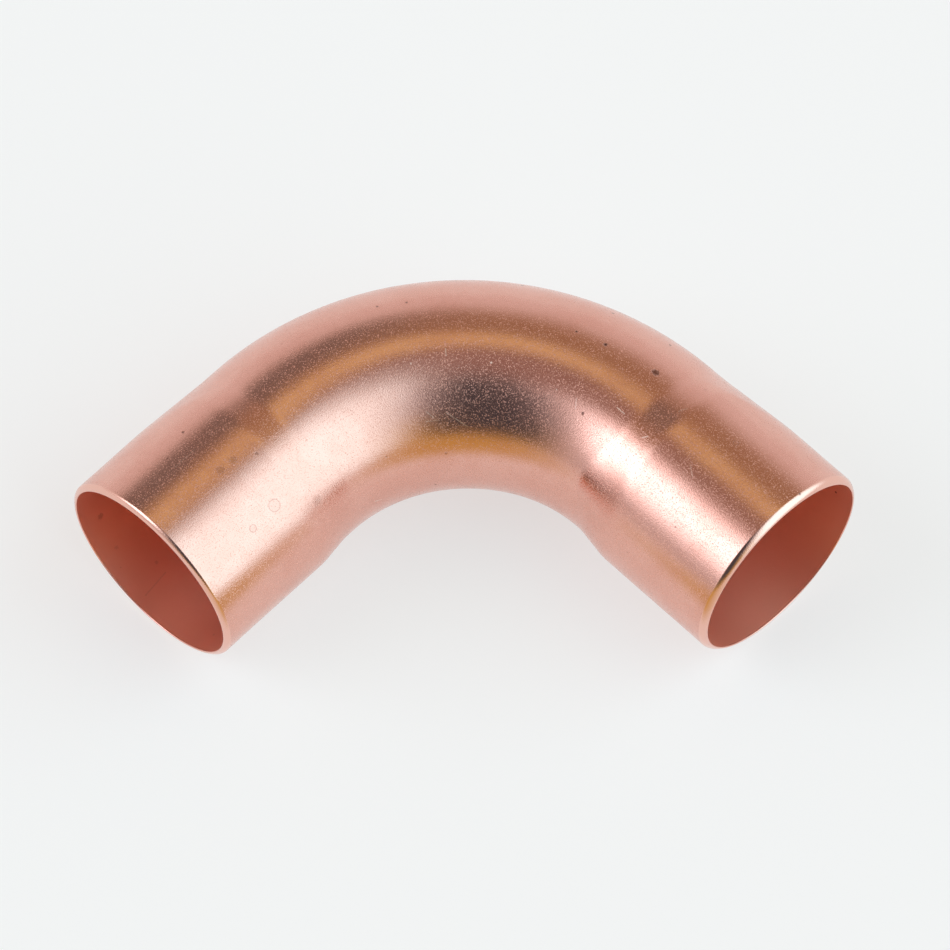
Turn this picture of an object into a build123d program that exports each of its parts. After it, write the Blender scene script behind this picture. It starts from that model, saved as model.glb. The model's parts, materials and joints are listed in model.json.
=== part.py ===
from build123d import *
import os
from math import cos, radians, sin

# Long radius elbow for copper tube, formed in one piece from a length of tube: a round bend whose
# two ends are opened out into cups. A tube slides into each cup until the sloping shoulder at the
# cup's bottom stops it, and is soldered or brazed there.
# The elbow lies flat, with its bend level. Cup A opens towards -Y and cup B towards +X. The origin
# is on the surface that the cups lie on, under the middle of the elbow's outline.
# Millimetres, +Z up.

# Tube that the elbow joins: 1 5/8 inch outside diameter
tube_diameter = 41.28
solder_gap = 0.05  # between the tube and the cup, all round

# Wall, the same from mouth to mouth
wall = 1.30

# Cups, with the shoulder that stops the tube and the short straight neck that leads to the bend
cup_depth = 27.7
stop_step = 1.04  # how far the shoulder steps in, all round
shoulder_length = 9.0
neck_length = 0.7

# Bend, measured on its centre line
bend_radius = 51.6
bend_angle = 90.0

# Ends of the cups: a bevel outside, and a broken edge inside
bevel_length = 1.40
bevel_drop = 0.80
mouth_break = 0.15

# Radii that follow
cup_bore = tube_diameter / 2 + solder_gap
cup_radius = cup_bore + wall
body_bore = cup_bore - stop_step
body_radius = body_bore + wall

# Lengths along a leg that follow, measured from the mouth
shoulder_end = cup_depth + shoulder_length
leg_length = shoulder_end + neck_length

# Place of the bend's centre that follows: the outline reaches as far on either side of the origin
bend_offset = (bend_radius + cup_radius - leg_length) / 2
bend_centre = Vector(bend_offset, -bend_offset, cup_radius)
bend_axis = Axis(bend_centre, (0, 0, 1))

# Each leg has a plane at its mouth: X runs out from the leg's axis and Y runs into the elbow
out_a = Vector(-1, 0, 0)
in_a = Vector(0, 1, 0)
out_b = Vector(-cos(radians(bend_angle)), sin(radians(bend_angle)), 0)
in_b = Vector(-sin(radians(bend_angle)), -cos(radians(bend_angle)), 0)
mouth_planes = [
    Plane(bend_centre + out * bend_radius - inward * leg_length, x_dir=out, z_dir=out.cross(inward))
    for out, inward in ((out_a, in_a), (out_b, in_b))
]


def shoulder(cup_end, body_end):
    """Draw the shoulder's S: two equal arcs that leave the cup and meet the body along the leg."""
    middle = ((cup_end[0] + body_end[0]) / 2, (cup_end[1] + body_end[1]) / 2)
    TangentArc(cup_end, middle, tangent=(0, 1))
    TangentArc(body_end, middle, tangent=(0, -1))


with BuildPart() as elbow:
    # Bend: the body's ring carried round the centre line
    with BuildSketch(Plane(bend_centre + out_a * bend_radius, x_dir=out_a, z_dir=in_a)):
        Circle(body_radius)
        Circle(body_bore, mode=Mode.SUBTRACT)
    revolve(axis=bend_axis, revolution_arc=-bend_angle)

    # Legs: half the wall's section, from the bevelled mouth to the end of the neck, turned round
    for mouth_plane in mouth_planes:
        with BuildSketch(mouth_plane):
            with BuildLine():
                Polyline(
                    (cup_radius, cup_depth),
                    (cup_radius, bevel_length),
                    (cup_radius - bevel_drop, 0),
                    (cup_bore + mouth_break, 0),
                    (cup_bore, mouth_break),
                    (cup_bore, cup_depth),
                )
                shoulder((cup_bore, cup_depth), (body_bore, shoulder_end))
                Polyline(
                    (body_bore, shoulder_end),
                    (body_bore, leg_length),
                    (body_radius, leg_length),
                    (body_radius, shoulder_end),
                )
                shoulder((cup_radius, cup_depth), (body_radius, shoulder_end))
            make_face()
        revolve(axis=Axis(mouth_plane.origin, mouth_plane.y_dir))

elbow.part.label = "elbow"

os.makedirs("parts", exist_ok=True)
export_step(elbow.part, "parts/elbow.step")

print("outline", elbow.part.bounding_box())
print("centre to mouth", bend_radius + leg_length)
print("solids", len(elbow.part.solids()), "faces", len(elbow.part.faces()), "volume", elbow.part.volume)
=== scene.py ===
import json
from math import cos, log, pi, radians, sin
import bpy
import numpy as np
from mathutils import Matrix, Vector


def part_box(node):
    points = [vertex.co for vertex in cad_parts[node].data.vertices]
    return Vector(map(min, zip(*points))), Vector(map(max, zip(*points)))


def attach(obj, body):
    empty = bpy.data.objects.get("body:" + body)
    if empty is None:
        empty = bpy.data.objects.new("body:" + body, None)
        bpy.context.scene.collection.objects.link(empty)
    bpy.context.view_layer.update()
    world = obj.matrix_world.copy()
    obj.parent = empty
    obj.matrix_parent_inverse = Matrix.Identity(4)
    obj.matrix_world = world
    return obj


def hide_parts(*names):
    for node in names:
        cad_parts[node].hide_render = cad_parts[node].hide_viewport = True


# Long radius copper elbow, 90 degrees, with a cup at each end. It lies flat on a pale floor, its bend
# level: cup A opens towards -Y and cup B towards +X. Metres in the scene, millimetres in the dictionaries.
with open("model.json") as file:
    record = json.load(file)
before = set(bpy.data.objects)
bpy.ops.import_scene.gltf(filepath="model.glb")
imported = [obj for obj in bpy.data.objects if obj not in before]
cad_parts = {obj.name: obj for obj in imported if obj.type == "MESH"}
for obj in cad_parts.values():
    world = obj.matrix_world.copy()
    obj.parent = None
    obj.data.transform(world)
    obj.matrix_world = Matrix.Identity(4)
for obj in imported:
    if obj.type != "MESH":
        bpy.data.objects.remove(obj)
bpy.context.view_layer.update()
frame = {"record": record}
scene = bpy.context.scene
millimetre = 0.001


# Camera: the photograph's angle, from far off with a long lens
cameraView = {
    "azimuth": 45.61,  # degrees, 0 looks along +Y
    "elevation": 62.78,  # degrees above the floor
    "roll": -1.07,  # degrees
    "distance": 4.178,  # metres from the aim
    "aim": (-2.413, 5.420, 21.99),  # mm
    "lens": 792.3,  # mm
    "sensor": 36.0,  # mm
    "photoSide": 950,  # pixels
}


def cameraAxes(v):
    # Right, up and back of the camera, from its azimuth, its elevation and its roll about the line of sight
    a, e, r = radians(v["azimuth"]), radians(v["elevation"]), radians(v["roll"])
    back = Vector((sin(a) * cos(e), -cos(a) * cos(e), sin(e)))
    level = Vector((cos(a), sin(a), 0))
    right = level * cos(r) + back.cross(level) * sin(r)
    return right, back.cross(right), back


def makeCamera(v):
    # The camera stands back from its aim along its own line of sight
    right, up, back = cameraAxes(v)
    data = bpy.data.cameras.new("photoCamera")
    data.lens = v["lens"]
    data.sensor_width = v["sensor"]
    data.clip_start = 0.1
    data.clip_end = 40
    camera = bpy.data.objects.new("photoCamera", data)
    place = Vector(v["aim"]) * millimetre + back * v["distance"]
    camera.matrix_world = Matrix.Translation(place) @ Matrix((right, up, back)).transposed().to_4x4()
    scene.collection.objects.link(camera)
    scene.camera = camera


makeCamera(cameraView)
scene.view_settings.view_transform = "Standard"
print("camera placed")


# Node helpers, used by every material
def addNode(tree, kind, inputs=None, **settings):
    # One node with its settings, its inputs given as values or as the sockets that feed them
    node = tree.nodes.new(kind)
    for name, value in settings.items():
        setattr(node, name, value)
    for key, value in (inputs or {}).items():
        socket = node.inputs[key]
        if isinstance(value, bpy.types.NodeSocket):
            tree.links.new(value, socket)
        else:
            socket.default_value = value
    return node


def maths(tree, operation, *values):
    # Result of one Math node
    return addNode(tree, "ShaderNodeMath", dict(enumerate(values)), operation=operation).outputs[0]


def vectorMaths(tree, operation, *values, output=0, **settings):
    # Result of one Vector Math node: output 0 is a vector and output 1 is a number
    node = addNode(tree, "ShaderNodeVectorMath", dict(enumerate(values)), operation=operation)
    for name, value in settings.items():
        socket = node.inputs[name.capitalize()]
        if isinstance(value, bpy.types.NodeSocket):
            tree.links.new(value, socket)
        else:
            socket.default_value = value
    return node.outputs[output]


def ramp(tree, value, low, high, toLow=0.0, toHigh=1.0):
    # Smooth step from toLow to toHigh while value goes from low to high
    inputs = {"Value": value, "From Min": low, "From Max": high, "To Min": toLow, "To Max": toHigh}
    return addNode(tree, "ShaderNodeMapRange", inputs, interpolation_type="SMOOTHSTEP").outputs["Result"]


def mixColour(tree, share, first, second):
    # Mix of two colours by a share from 0 to 1
    return addNode(tree, "ShaderNodeMix", {0: share, 6: first, 7: second}, data_type="RGBA").outputs[2]


def noise(tree, place, size, detail=2.0, roughness=0.5):
    # Soft noise from 0 to 1, with lumps of about the given size in mm
    inputs = {"Vector": place, "Scale": 1 / (size * millimetre), "Detail": detail, "Roughness": roughness}
    return addNode(tree, "ShaderNodeTexNoise", inputs).outputs["Fac"]


# Studio: soft light from two boxes, with the dark gap between them where the camera stands
studio = {
    "pale": (0.81, 0.76, 0.75),  # the wall all round, low down
    "brown": (0.39, 0.27, 0.165),  # higher up
    "ceiling": (0.34, 0.25, 0.22),
    "paleToBrown": (11, 40),  # rises in degrees above the horizon
    "brownToCeiling": (57, 74),
    # Panels: turn is in degrees to the camera's right, rise is above the horizon, edge is how soft
    "panels": [
        {"turn": (-82, 96), "rise": (-20, 69), "edge": 8, "light": (0.64, 0.63, 0.64)},
        {"turn": (-41, 41), "rise": (-20, 27), "edge": 34, "light": (0.64, 0.47, 0.14)},
        {"turn": (-41, 18), "rise": (5, 74), "edge": 28, "light": (0.075, 0.085, 0.10)},
        {"turn": (-175, -138), "rise": (25, 54), "edge": 12, "light": (0.225, 0.197, 0.18)},
        {"turn": (133, 207), "rise": (58, 73), "edge": 8, "light": (0.80, 0.67, 0.35)},
        {"turn": (36, 120), "rise": (-3, 70), "edge": 36, "light": (1.5, 2.1, 2.3)},
        {"turn": (-109, -64), "rise": (21, 56), "edge": 28, "light": (3.0, 3.35, 3.7)},
    ],
}


def panelShare(tree, turn, rise, panel):
    # Smooth box in turn and rise: one inside, falling to zero over its soft edge
    left, right = panel["turn"]
    low, high = panel["rise"]
    edge = panel["edge"] / 2
    half = (right - left) / 2
    offset = maths(tree, "WRAP", maths(tree, "SUBTRACT", turn, (left + right) / 2), 180.0, -180.0)
    across = ramp(tree, maths(tree, "ABSOLUTE", offset), half - edge, half + edge, 1.0, 0.0)
    above = ramp(tree, rise, low - edge, low + edge)
    below = ramp(tree, rise, high - edge, high + edge, 1.0, 0.0)
    return maths(tree, "MULTIPLY", maths(tree, "MULTIPLY", across, above), below)


def makeStudio(s, view):
    # Light of the room by direction: a pale wall, a brown upper part, a ceiling, and the panels over them
    world = bpy.data.worlds.new("studio")
    scene.world = world
    world.use_nodes = True
    tree = world.node_tree
    tree.nodes.clear()
    direction = addNode(tree, "ShaderNodeTexCoord").outputs["Generated"]
    axes = addNode(tree, "ShaderNodeSeparateXYZ", {0: direction}).outputs
    turn = maths(tree, "DEGREES", maths(tree, "ARCTAN2", axes["Y"], axes["X"]))
    turn = maths(tree, "ADD", turn, 90.0 - view["azimuth"])  # 0 is towards the camera
    rise = maths(tree, "DEGREES", maths(tree, "ARCSINE", axes["Z"]))
    colour = mixColour(tree, ramp(tree, rise, *s["paleToBrown"]), (*s["pale"], 1), (*s["brown"], 1))
    colour = mixColour(tree, ramp(tree, rise, *s["brownToCeiling"]), colour, (*s["ceiling"], 1))
    for panel in s["panels"]:
        colour = mixColour(tree, panelShare(tree, turn, rise, panel), colour, (*panel["light"], 1))
    background = addNode(tree, "ShaderNodeBackground", {"Color": colour, "Strength": 1.0})
    addNode(tree, "ShaderNodeOutputWorld", {"Surface": background.outputs[0]})


makeStudio(studio, cameraView)
print("studio lit")


# Bounce card: a low warm card on the camera's side, seen only in the metal
bounceCard = {
    "foot": 48.0,  # mm from the origin towards the camera
    "head": 90.0,  # the same for its upper edge
    "height": 46.0,
    "half": 98.0,  # half its length
    "light": (0.64, 0.47, 0.14),
    "clearEnd": 90.0,  # mm of each end over which it fades out
    "clearFoot": 0.35,  # share of its slope over which it fades out
    "clearHead": 0.30,
}


def makeBounceCard(b, view):
    # Rectangle square to the camera's azimuth, leaning away from the elbow. It fades to clear on all sides.
    a = radians(view["azimuth"])
    toCamera = Vector((sin(a), -cos(a), 0))
    along = Vector((cos(a), sin(a), 0)) * b["half"] * millimetre
    foot = toCamera * b["foot"] * millimetre
    head = (toCamera * b["head"] + Vector((0, 0, b["height"]))) * millimetre
    mesh = bpy.data.meshes.new("bounceCard")
    mesh.from_pydata([foot - along, foot + along, head + along, head - along], [], [(0, 1, 2, 3)])
    mesh.uv_layers.new(name="card").data.foreach_set("uv", [0, 0, 1, 0, 1, 1, 0, 1])
    card = bpy.data.objects.new("bounceCard", mesh)
    scene.collection.objects.link(card)
    card.visible_camera = card.visible_diffuse = card.visible_shadow = card.visible_transmission = False
    material = bpy.data.materials.new("warmCard")
    material.use_nodes = True
    tree = material.node_tree
    tree.nodes.clear()
    place = addNode(tree, "ShaderNodeSeparateXYZ", {0: addNode(tree, "ShaderNodeUVMap", uv_map="card").outputs[0]})
    fromMiddle = maths(tree, "ABSOLUTE", maths(tree, "SUBTRACT", place.outputs["X"], 0.5))
    ends = ramp(tree, fromMiddle, 0.5 - b["clearEnd"] / b["half"] / 2, 0.5, 1.0, 0.0)
    lower = ramp(tree, place.outputs["Y"], 0.0, b["clearFoot"])
    upper = ramp(tree, place.outputs["Y"], 1 - b["clearHead"], 1.0, 1.0, 0.0)
    light = addNode(tree, "ShaderNodeEmission", {"Color": (*b["light"], 1)})
    clear = addNode(tree, "ShaderNodeBsdfTransparent")
    share = maths(tree, "MULTIPLY", maths(tree, "MULTIPLY", ends, lower), upper)
    mix = addNode(tree, "ShaderNodeMixShader", {0: share, 1: clear.outputs[0], 2: light.outputs[0]})
    addNode(tree, "ShaderNodeOutputMaterial", {"Surface": mix.outputs[0]})
    mesh.materials.append(material)


makeBounceCard(bounceCard, cameraView)


# Floor: a plain pale sheet. What sees it, the camera and the metal, sees it part of the way to white.
floor = {
    "side": 12.0,  # metres
    "colour": (0.90, 0.85, 0.82),
    "whitened": 0.6,
}


def makeFloor(f):
    # Square in the level plane on which the elbow lies
    half = f["side"] / 2
    mesh = bpy.data.meshes.new("floorSheet")
    corners = [(-half, -half, 0), (half, -half, 0), (half, half, 0), (-half, half, 0)]
    mesh.from_pydata(corners, [], [(0, 1, 2, 3)])
    sheet = bpy.data.objects.new("floorSheet", mesh)
    scene.collection.objects.link(sheet)
    material = bpy.data.materials.new("paleFloor")
    material.use_nodes = True
    tree = material.node_tree
    shader = tree.nodes["Principled BSDF"]
    shader.inputs["Base Color"].default_value = (*f["colour"], 1)
    shader.inputs["Roughness"].default_value = 1.0
    shader.inputs["Specular IOR Level"].default_value = 0.0
    path = addNode(tree, "ShaderNodeLightPath").outputs
    seen = maths(tree, "ADD", path["Is Camera Ray"], path["Is Glossy Ray"])
    seen = addNode(tree, "ShaderNodeMath", {0: seen, 1: path["Is Transmission Ray"]}, operation="ADD",
                   use_clamp=True).outputs[0]
    white = addNode(tree, "ShaderNodeEmission", {"Color": (1, 1, 1, 1), "Strength": 1.0})
    mix = addNode(tree, "ShaderNodeMixShader", {0: maths(tree, "MULTIPLY", seen, f["whitened"]),
                                                1: shader.outputs[0], 2: white.outputs[0]})
    tree.links.new(mix.outputs[0], tree.nodes["Material Output"].inputs["Surface"])
    mesh.materials.append(material)


makeFloor(floor)
print("floor laid")


# Elbow: one wall of tube, from mouth to mouth, its outside and its bore carried along the bend's centre line
elbow = {
    "bendRadius": 51.6,
    # Shoulders: start is measured from the mouth, ease is the share of the length that bends at each end
    "boreShoulder": {"start": 27.7, "length": 9.0, "step": 1.04, "ease": 0.5},
    "shoulderA": {"start": 27.4, "length": 8.6, "step": 0.88},
    "shoulderB": {"start": 28.2, "length": 9.4, "step": 1.25},
    "ease": 0.25,
    # Round the outside of the bend, where the tube was drawn thin, both outer shoulders are long and gentle
    "drawnShoulder": {"start": 14.0, "length": 24.0},
    "drawnSide": (-0.97, -0.60),  # from full to none, by the sine of the turn round the tube
    # Towards the inside of the bend the slope is eased off over a band of the turn, in degrees
    "softBand": {"middle": 58, "half": 26, "lengthen": 6.0},
    # Lips: two rounded stretches outside, each with its tilt in degrees at both ends growing evenly
    "lipA": [{"length": 0.55, "tilt": (12, 50)}, {"length": 0.40, "tilt": (50, 66)}],
    "lipB": [{"length": 0.95, "tilt": (12, 44)}, {"length": 0.40, "tilt": (44, 60)}],
    "cornerRound": 0.12,
    "boreRound": 0.18,
    # Waves left by the forming, each given as times round, mm along, phase and share
    "waveDepth": 0.05,
    "waves": [(1, 61, 0.4, 1.0), (2, 43, 2.1, 0.9), (3, 27, 4.4, 0.6), (5, 19, 1.3, 0.35), (4, 33, 5.2, 0.5)],
    "pointsAround": 176,
    "ringSpacing": 0.46,  # outside
    "boreSpacing": 1.4,
    "crease": 0.06,  # rings this close together hold a sharp edge
}


def easedStep(share, ease):
    # 0 before the shoulder and 1 after it: an arc, a straight slope and an arc. At an ease of 0.5 it is two arcs.
    t = np.clip(share, 0, 1)
    bend = 2 * ease * (1 - ease)
    first = np.where(t < ease, t * t / bend, (t - ease / 2) / (1 - ease))
    return np.where(t > 1 - ease, 1 - (1 - t) ** 2 / bend, first)


def smooth(value, low, high):
    # Smooth step from 0 to 1
    t = np.clip((value - low) / (high - low), 0, 1)
    return t * t * (3 - 2 * t)


def lipProfile(lip, e):
    # Depth and drop from the lip's start to the end face. On a stretch whose tilt grows evenly, the drop is the
    # logarithm of a ratio of cosines. A small round corner takes the last tilt to the upright face.
    last = radians(lip[-1]["tilt"][1])
    start = sum(stretch["length"] for stretch in lip) + e["cornerRound"] * (1 - sin(last))
    depths, drops = [], []
    drop = 0.0
    for stretch in lip:
        low, high = np.radians(stretch["tilt"])
        tilt = np.linspace(low, high, 8)
        reach = stretch["length"] / (high - low)
        depths.append(start - reach * (tilt - low))
        drops.append(drop + reach * np.log(cos(low) / np.cos(tilt)))
        start, drop = depths[-1][-1], drops[-1][-1]
    corner = np.linspace(last, pi / 2, 5)
    depths.append(e["cornerRound"] * (1 - np.sin(corner)))
    drops.append(drop + e["cornerRound"] * (cos(last) - np.cos(corner)))
    kept = [slice(None)] + [slice(1, None)] * (len(depths) - 1)
    return (np.concatenate([d[k] for d, k in zip(depths, kept)]),
            np.concatenate([d[k] for d, k in zip(drops, kept)]))


def wallLoop(e, sizes):
    # Once round the wall's section lengthways. It gives the station of each ring, its radius before the
    # shoulders step in, and whether it is on the outside, on a lip or in the bore.
    total = 2 * sizes["leg"] + e["bendRadius"] * pi / 2
    depthA, dropA = lipProfile(e["lipA"], e)
    depthB, dropB = lipProfile(e["lipB"], e)
    first, last = depthA[0] + e["crease"], total - depthB[0] - e["crease"]
    outside = np.linspace(first, last, int(total / e["ringSpacing"]))
    quarter = np.linspace(0, pi / 2, 5)
    breakDepth, breakRise = e["boreRound"] * (1 - np.cos(quarter)), e["boreRound"] * (1 - np.sin(quarter))
    first = e["boreRound"] + e["crease"]
    bore = np.linspace(first, total - first, int(total / e["boreSpacing"]))
    cup, hole = sizes["cupRadius"], sizes["boreRadius"]
    pieces = [  # station, radius, 1 outside, 1 on a lip, 1 in the bore
        (depthA[::-1], cup - dropA[::-1], 1, 1, 0),
        (outside, cup + 0 * outside, 1, 0, 0),
        (total - depthB, cup - dropB, 1, 1, 0),
        (total - breakDepth, hole + breakRise, 0, 1, 0),
        (bore[::-1], hole + 0 * bore, 0, 0, 1),
        (breakDepth[::-1], hole + breakRise[::-1], 0, 1, 0),
    ]
    columns = [np.concatenate([np.broadcast_to(p[k], p[0].shape) for p in pieces]) for k in range(5)]
    return total, *columns


def wallRadius(station, start, isOutside, turn, total, e):
    # Radius of every ring (rows) at every turn (columns): its start less the shoulder's step. The bore's
    # shoulder is the same all round. The outside's goes from cup A's to cup B's along the bend, and takes on
    # the long gentle one round the outside of the bend.
    depth = np.minimum(station, total - station)[:, None]
    side = np.sin(turn)[None, :]
    towardsB = smooth(station / total, 0.25, 0.75)[:, None]
    sizeA, sizeB, drawn, inner = e["shoulderA"], e["shoulderB"], e["drawnShoulder"], e["boreShoulder"]
    begin, length, step = [sizeA[k] + (sizeB[k] - sizeA[k]) * towardsB for k in ("start", "length", "step")]
    drawnShare = 1 - smooth(side, *e["drawnSide"])
    begin = begin + (drawn["start"] - begin) * drawnShare
    length = length + (drawn["length"] - length) * drawnShare
    band = e["softBand"]
    soft = band["lengthen"] * (1 - smooth(np.abs(np.degrees(turn) - band["middle"]), 0, band["half"]))[None, :]
    begin, length = begin - soft / 2, length + soft
    outer = step * easedStep((depth - begin) / length, e["ease"])
    bore = inner["step"] * easedStep((depth - inner["start"]) / inner["length"], inner["ease"]) + 0 * side
    wave = sum(share * np.sin(times * turn[None, :] + 2 * pi * station[:, None] / along + phase)
               for times, along, phase, share in e["waves"])
    outer = outer + e["waveDepth"] * (wave - wave.min()) / (wave.max() - wave.min()) * smooth(depth, 1.0, 6.0)
    return start[:, None] - np.where(isOutside[:, None] > 0, outer, bore)


def centreLine(station, e, sizes):
    # Leg A, a quarter turn, leg B: the centre and the direction of travel at each station
    leg, radius = sizes["leg"], e["bendRadius"]
    along = np.clip(station - leg, 0, radius * pi / 2)
    angle = pi - along / radius
    travel = np.stack([np.sin(angle), -np.cos(angle), 0 * angle], 1)
    centre = np.stack([np.cos(angle), np.sin(angle), 0 * angle], 1) * radius + sizes["bendCentre"]
    centre += travel * (station - leg - along)[:, None]
    return centre, travel


def closedGrid(rows, columns):
    # Corner numbers of every quad of a grid that joins up in both directions
    r, c = np.meshgrid(np.arange(rows), np.arange(columns), indexing="ij")
    nextRow, nextColumn = (r + 1) % rows, (c + 1) % columns
    corners = [r * columns + c, nextRow * columns + c, nextRow * columns + nextColumn, r * columns + nextColumn]
    return np.stack(corners, -1).reshape(-1, 4)


def makeElbow(e):
    # Surface of two parameters, station along the wall's section and turn round the tube. A point is the
    # centre of its ring plus its radius along the spoke of its turn.
    low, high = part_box("elbow")
    socket = frame["record"]["mounts"][0]
    sizes = {"cupRadius": high.z / millimetre / 2, "boreRadius": socket["dims"]["r_mm"]}
    bendX = socket["pos_m"][0] / millimetre + e["bendRadius"]
    sizes["bendCentre"] = np.array([bendX, -bendX, sizes["cupRadius"]])
    sizes["leg"] = high.y / millimetre - bendX
    total, station, start, isOutside, isLip, isBore = wallLoop(e, sizes)
    rows, columns = len(station), e["pointsAround"]
    turn = np.linspace(0, 2 * pi, columns, endpoint=False)
    radius = wallRadius(station, start, isOutside, turn, total, e)
    centre, travel = centreLine(station, e, sizes)
    up = np.array([0, 0, 1.0])
    inward = np.cross(travel, up)
    spoke = np.cos(turn)[None, :, None] * up + np.sin(turn)[None, :, None] * inward[:, None, :]
    points = centre[:, None, :] + radius[:, :, None] * spoke
    corners = closedGrid(rows, columns)
    mesh = bpy.data.meshes.new("elbowWall")
    mesh.vertices.add(rows * columns)
    mesh.vertices.foreach_set("co", (points * millimetre).ravel())
    mesh.loops.add(corners.size)
    mesh.loops.foreach_set("vertex_index", corners.ravel())
    mesh.polygons.add(len(corners))
    mesh.polygons.foreach_set("loop_start", np.arange(0, corners.size, 4))
    mesh.polygons.foreach_set("use_smooth", np.ones(len(corners), bool))
    mesh.update()
    mesh.validate()
    # Place on the tube, for patterns that run along it: two coordinates for the turn, then the station
    ring, flat = sizes["cupRadius"] * millimetre, 0 * radius
    place = np.stack([ring * np.cos(turn) + flat, ring * np.sin(turn) + flat,
                      station[:, None] * millimetre + flat], -1)
    mesh.attributes.new("tubePlace", "FLOAT_VECTOR", "POINT").data.foreach_set("vector", place.ravel())
    for name, values in (("lip", isLip), ("bore", isBore)):
        spread = np.repeat(values.astype(float), columns)
        mesh.attributes.new(name, "FLOAT", "POINT").data.foreach_set("value", spread)
    wall = bpy.data.objects.new("elbowWall", mesh)
    scene.collection.objects.link(wall)
    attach(wall, "root")
    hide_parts("elbow")
    print("elbow surfaced,", 2 * len(corners), "triangles")
    return wall


elbowWall = makeElbow(elbow)


# Marks that stand out on the copper: real scratches, nicks, pits, dots and stains. The bright ones are painted pale
# as glints, and one dark one is a painted reflection. The pixels at, from and to are the photograph's, and each is
# carried along the camera's ray onto the wall. Widths and radii are in mm. Tone is dark below 0 and bright above.
marks = {
    "scratchOnTopUpper": {"from": (445.5, 412), "to": (455.5, 418.5), "width": 0.2, "tone": 0.5},
    "scratchOnTopLower": {"from": (455.5, 418.5), "to": (467, 426), "width": 0.2, "tone": 0.55},
    "scratchBesideIt": {"from": (425.5, 411), "to": (433.7, 417.6), "width": 0.18, "tone": 0.45},
    "scratchBelowIt": {"from": (425.4, 421), "to": (438.7, 420), "width": 0.18, "tone": 0.4},
    "nickAtMiddle": {"from": (445, 348), "to": (445.5, 355), "width": 0.18, "tone": 0.7},
    "scratchOnLegB": {"from": (616.5, 407), "to": (623.5, 413), "width": 0.24, "tone": 0.7},
    "nickOnLegB": {"from": (642, 437), "to": (647, 436), "width": 0.26, "tone": 0.7},
    "brightNickByShoulderB": {"from": (678, 411), "to": (687, 408), "width": 0.2, "tone": 0.5},
    "darkLineOnLegB": {"from": (689.5, 465), "to": (692, 476), "width": 0.18, "tone": 0.5},
    "faintLineOnLegA": {"from": (175, 466.6), "to": (194.6, 448.4), "width": 0.18, "tone": 0.35},
    "lineInHighlight": {"from": (575, 408), "to": (576, 398), "width": 0.18, "tone": 0.5},
    "brightLineLow": {"from": (374, 501), "to": (381, 499), "width": 0.18, "tone": 0.8},
    "lineByMouthA": {"from": (214, 591), "to": (236, 572), "width": 0.16, "tone": 0.35},
    "pitBig": {"at": (605, 344), "radius": 0.42, "tone": -1.0},
    "pitWide": {"at": (655, 372), "radius": 0.75, "tone": -0.8},
    "pitUpper": {"at": (576, 331), "radius": 0.27, "tone": -0.9},
    "pitLegA": {"at": (182.5, 431.7), "radius": 0.28, "tone": -0.85},
    "pitOnTop": {"at": (521.6, 285), "radius": 0.27, "tone": -0.8},
    "pitOuter": {"at": (612.5, 312.8), "radius": 0.27, "tone": -0.8},
    "pitOuterB": {"at": (669.7, 344.6), "radius": 0.27, "tone": -0.8},
    "pitFar": {"at": (376.5, 306), "radius": 0.27, "tone": -0.7},
    "pitFarRight": {"at": (406, 302), "radius": 0.25, "tone": -0.75},
    "pitLeft": {"at": (163, 407), "radius": 0.25, "tone": -0.75},
    "pitRight": {"at": (743, 393), "radius": 0.27, "tone": -0.7},
    "brightDotOne": {"at": (490.5, 362), "radius": 0.2, "tone": 0.9},
    "brightDotTwo": {"at": (410.5, 363), "radius": 0.18, "tone": 0.8},
    "brightDotThree": {"at": (556, 389), "radius": 0.18, "tone": 0.7},
    "redSpotOne": {"at": (220, 469.5), "radius": 0.8, "tone": -0.25},
    "redSpotTwo": {"at": (232.6, 459.6), "radius": 0.75, "tone": -0.25},
    "darkRedSpot": {"at": (256, 453), "radius": 0.4, "tone": -0.45},
    "waterRing": {"at": (274, 505), "radius": 1.25, "ring": 0.22, "tone": -0.3},
    "waterRingInside": {"at": (274, 505), "radius": 1.25, "tone": -0.07},
    "waterRingSmall": {"at": (252.5, 528), "radius": 0.75, "ring": 0.2, "tone": -0.3},
    "waterRingSmallInside": {"at": (252.5, 528), "radius": 0.75, "tone": -0.07},
    "ringOnLegB": {"at": (735.5, 442.5), "radius": 0.55, "ring": 0.18, "tone": -0.3},
    # A faint dark patch painted where the shoulder of leg A reflects the darker part of the room: a painted
    # reflection, not a stain
    "paintedShoulderReflection": {"at": (317, 500), "radius": 0.95, "tone": -0.2},
    "boreSpotOne": {"at": (100, 516), "radius": 0.7, "tone": -0.28},
    "boreSpotTwo": {"at": (116, 547), "radius": 0.4, "tone": -0.15},
    "boreSpotThree": {"at": (156, 562), "radius": 0.35, "tone": -0.15},
    "boreLine": {"from": (145, 595), "to": (165, 572), "width": 0.3, "tone": -0.12},
}


def onWall(pixel, wall, view):
    # Where the camera's ray through a pixel of the photograph first meets the wall
    right, up, back = cameraAxes(view)
    focal = view["lens"] / view["sensor"] * view["photoSide"]
    across, down = pixel[0] + 0.5 - view["photoSide"] / 2, pixel[1] + 0.5 - view["photoSide"] / 2
    ray = (right * across / focal - up * down / focal - back).normalized()
    start = Vector(view["aim"]) * millimetre + back * view["distance"]
    found, point, normal, face = wall.ray_cast(start, ray)
    return point


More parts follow.
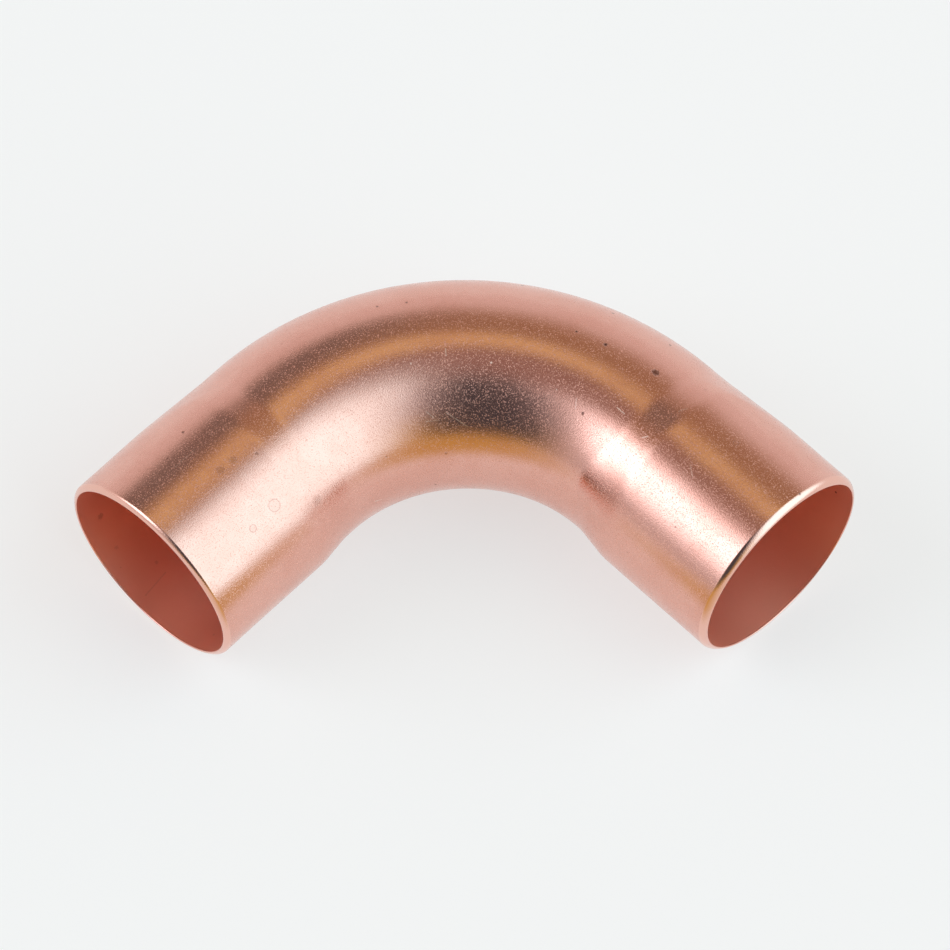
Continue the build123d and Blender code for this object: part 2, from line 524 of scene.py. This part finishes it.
def markDistance(tree, place, mark, wall, view):
    # Distance from each point to the mark: to its spot, to its ring, or to the nearest point of its line
    if "at" in mark:
        away = vectorMaths(tree, "DISTANCE", place, onWall(mark["at"], wall, view), output=1)
        if "ring" in mark:
            away = maths(tree, "ABSOLUTE", maths(tree, "SUBTRACT", away, mark["radius"] * millimetre))
        return away
    begin, end = onWall(mark["from"], wall, view), onWall(mark["to"], wall, view)
    offset = vectorMaths(tree, "SUBTRACT", place, begin)
    along = vectorMaths(tree, "DOT_PRODUCT", offset, (end - begin).normalized(), output=1)
    along = maths(tree, "MINIMUM", maths(tree, "MAXIMUM", along, 0.0), (end - begin).length)
    foot = vectorMaths(tree, "SCALE", (end - begin).normalized(), scale=along)
    return vectorMaths(tree, "DISTANCE", offset, foot, output=1)


def addMarks(tree, place, ragged, wall, view):
    # Greatest share of any dark mark and of any bright one; the bright ones are painted glints. Ragged moves the
    # edges of the marks about.
    dark = bright = 0.0
    for mark in marks.values():
        size = mark.get("width", mark.get("ring", 2 * mark.get("radius", 0))) / 2
        edge = size * millimetre
        away = maths(tree, "MULTIPLY_ADD", ragged, edge, markDistance(tree, place, mark, wall, view))
        share = ramp(tree, away, 0.6 * edge, 1.3 * edge, abs(mark["tone"]), 0.0)
        if mark["tone"] < 0:
            dark = maths(tree, "MAXIMUM", share, dark)
        else:
            bright = maths(tree, "MAXIMUM", share, bright)
    return dark, bright


# Copper: satin, with a fine grain, faint clouds of tarnish, hairlines along the tube and a few specks
copper = {
    "colour": (0.83, 0.45, 0.37),
    "tarnish": (0.80, 0.415, 0.335),
    "lipColour": (0.87, 0.50, 0.41),
    # The bore's copper is painted redder and brighter than the outside's: painted bounce light, standing in for the
    # light reflected many times round inside the tube
    "boreBounceColour": (1.0, 0.47, 0.34),
    "darkMark": (0.15, 0.06, 0.045),
    # Painted glint: the pale colour given to real scratches, nicks and dots where they catch the light
    "paintedGlintColour": (0.96, 0.74, 0.66),
    "roughness": (0.13, 0.18),  # from the shiniest to the dullest cloud
    "lipRoughness": 0.12,
    "boreRoughness": 0.50,
    "brightRoughness": 0.65,
    "glitterRoughness": 0.55,
    "glitterSize": 0.27,  # mm
    "glitterShare": (0.53, 0.66),  # of the noise, from none to all
    "grainSize": 0.22,
    "grainDepth": 0.026,
    "peelSize": 1.3,
    "peelDepth": 0.006,
    "cloudSize": 13.0,
    "blotchSize": 3.0,
    "hairlineSize": (0.22, 9.0),  # across and along
    "speckSize": 3.4,  # spacing
}


def makeCopper(c, wall, view):
    # One metal. Its roughness and colour go by place: outside, lip or bore, then clouds, hairlines and marks.
    material = bpy.data.materials.new("satinCopper")
    material.use_nodes = True
    tree = material.node_tree
    shader = tree.nodes["Principled BSDF"]
    place = addNode(tree, "ShaderNodeTexCoord").outputs["Object"]
    tube = addNode(tree, "ShaderNodeAttribute", attribute_name="tubePlace").outputs["Vector"]
    lip = addNode(tree, "ShaderNodeAttribute", attribute_name="lip").outputs["Fac"]
    bore = addNode(tree, "ShaderNodeAttribute", attribute_name="bore").outputs["Fac"]
    grain = noise(tree, place, c["grainSize"])
    peel = noise(tree, place, c["peelSize"], 1.0)
    cloud = noise(tree, place, c["cloudSize"], 3.0, 0.6)
    blotch = noise(tree, place, c["blotchSize"], 3.0, 0.65)

    # Hairlines: noise squeezed round the tube and drawn out along it, of which only the peaks count
    across, along = c["hairlineSize"]
    stretch = addNode(tree, "ShaderNodeMapping", {"Vector": tube, "Scale": (1, 1, across / along)}).outputs[0]
    hair = ramp(tree, noise(tree, stretch, across, 1.0), 0.66, 0.74)

    # Specks: one in each cell, and only in a few of the cells
    cells = addNode(tree, "ShaderNodeTexVoronoi", {"Vector": place, "Scale": 1 / (c["speckSize"] * millimetre)})
    chosen = addNode(tree, "ShaderNodeSeparateColor", {0: cells.outputs["Color"]}).outputs
    size = ramp(tree, chosen["Red"], 0.66, 1.0, 0.0, 0.10)
    speck = ramp(tree, maths(tree, "DIVIDE", cells.outputs["Distance"], maths(tree, "MAXIMUM", size, 0.001)),
                 0.6, 1.3, 1.0, 0.0)
    speck = maths(tree, "MULTIPLY", speck, ramp(tree, chosen["Green"], 0.3, 0.9, 0.15, 0.75))

    ragged = maths(tree, "MULTIPLY_ADD", grain, 2.4, -1.2)
    dark, bright = addMarks(tree, place, ragged, wall, view)
    dark = maths(tree, "MAXIMUM", dark, speck)

    soil = ramp(tree, maths(tree, "ADD", maths(tree, "MULTIPLY", cloud, 0.65), maths(tree, "MULTIPLY", blotch, 0.35)),
                0.38, 0.62)
    colour = mixColour(tree, soil, (*c["colour"], 1), (*c["tarnish"], 1))
    glitter = ramp(tree, noise(tree, place, c["glitterSize"], 2.0, 0.6), *c["glitterShare"])
    colour = vectorMaths(tree, "SCALE", colour, scale=ramp(tree, glitter, 0.0, 1.0, 0.96, 1.1))
    colour = mixColour(tree, lip, colour, (*c["lipColour"], 1))
    # Painted bounce light in the bore: a redder, brighter copper colour than the outside's
    colour = mixColour(tree, bore, colour, (*c["boreBounceColour"], 1))
    # Dark marks: pits, specks and stains, and one painted reflection on the shoulder of leg A
    colour = mixColour(tree, dark, colour, (*c["darkMark"], 1))
    # Painted glints: the bright marks' pale colour stands in for the light their scratches and dots catch
    colour = mixColour(tree, bright, colour, (*c["paintedGlintColour"], 1))

    roughness = ramp(tree, soil, 0.0, 1.0, *c["roughness"])
    roughness = maths(tree, "MULTIPLY_ADD", hair, 0.05, roughness)
    roughness = ramp(tree, glitter, 0.0, 1.0, roughness, c["glitterRoughness"])
    roughness = maths(tree, "MAXIMUM", roughness, maths(tree, "MULTIPLY", bright, c["brightRoughness"]))
    roughness = ramp(tree, lip, 0.0, 1.0, roughness, c["lipRoughness"])
    roughness = maths(tree, "MAXIMUM", roughness, maths(tree, "MULTIPLY", bore, c["boreRoughness"]))

    height = maths(tree, "MULTIPLY", peel, c["peelDepth"] * millimetre)
    height = maths(tree, "MULTIPLY_ADD", grain, c["grainDepth"] * millimetre, height)
    height = maths(tree, "MULTIPLY_ADD", hair, -0.004 * millimetre, height)
    height = maths(tree, "MULTIPLY_ADD", dark, -0.03 * millimetre, height)
    bump = addNode(tree, "ShaderNodeBump", {"Height": height, "Strength": 1.0, "Distance": 1.0})

    shader.inputs["Metallic"].default_value = 1.0
    tree.links.new(colour, shader.inputs["Base Color"])
    tree.links.new(roughness, shader.inputs["Roughness"])
    tree.links.new(bump.outputs["Normal"], shader.inputs["Normal"])
    return material


bpy.context.view_layer.update()
elbowWall.data.materials.append(makeCopper(copper, elbowWall, cameraView))
print("copper finished")
